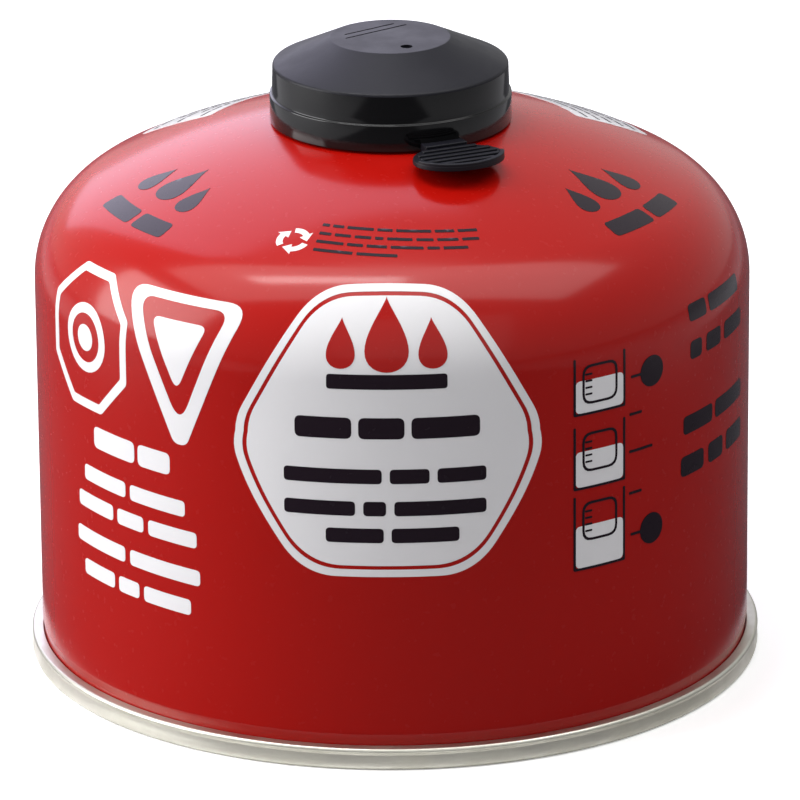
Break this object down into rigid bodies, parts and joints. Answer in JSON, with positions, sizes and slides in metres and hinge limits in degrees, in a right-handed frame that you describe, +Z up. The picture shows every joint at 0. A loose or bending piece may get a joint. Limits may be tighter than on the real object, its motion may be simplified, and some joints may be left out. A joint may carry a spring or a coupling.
{
  "type": "fuel canister",
  "caption": "Squat domed steel gas canister with a bare double seam at its foot, a spring-loaded screw valve on top and a push-on plastic cap with an oval pull tab.",
  "frame": {"origin": "middle of the base, on the surface that the seam ring stands on", "axes": "+Z up along the can's axis, -Y towards the front of the can"},
  "size_m": [0.11, 0.11, 0.0947],
  "materials": {
    "lacquer": "gloss red lacquer",
    "tinplate": "bare satin tinplate",
    "cap_plastic": "black moulded plastic, satin on top and glossy on the skirt",
    "valve_plastic": "natural moulded plastic",
    "seal_rubber": "matt black rubber",
    "spring_steel": "bright drawn wire",
    "print_white": "white ink under gloss varnish",
    "print_black": "dark ink under gloss varnish"
  },
  "bodies": {
    "can": {"can_shell": "lacquer", "bottom_end": "tinplate", "valve_cup": "tinplate", "cup_gasket": "seal_rubber", "stem_gasket": "seal_rubber", "valve_housing": "valve_plastic", "valve_spring": "spring_steel"},
    "stem": {"valve_stem": "valve_plastic"},
    "cap": {"cap": "cap_plastic"}
  },
  "joints": [
    {"name": "cap_lift", "type": "slide", "parent": "can", "child": "cap", "axis": [0, 0, 1], "range_m": [0, 0.025]},
    {"name": "stem_press", "type": "slide", "parent": "can", "child": "stem", "axis": [0, 0, -1], "range_m": [0, 0.0015], "stiffness_N_per_m": 1500, "springref_m": -0.001, "deforming": ["valve_spring"]}
  ]
}
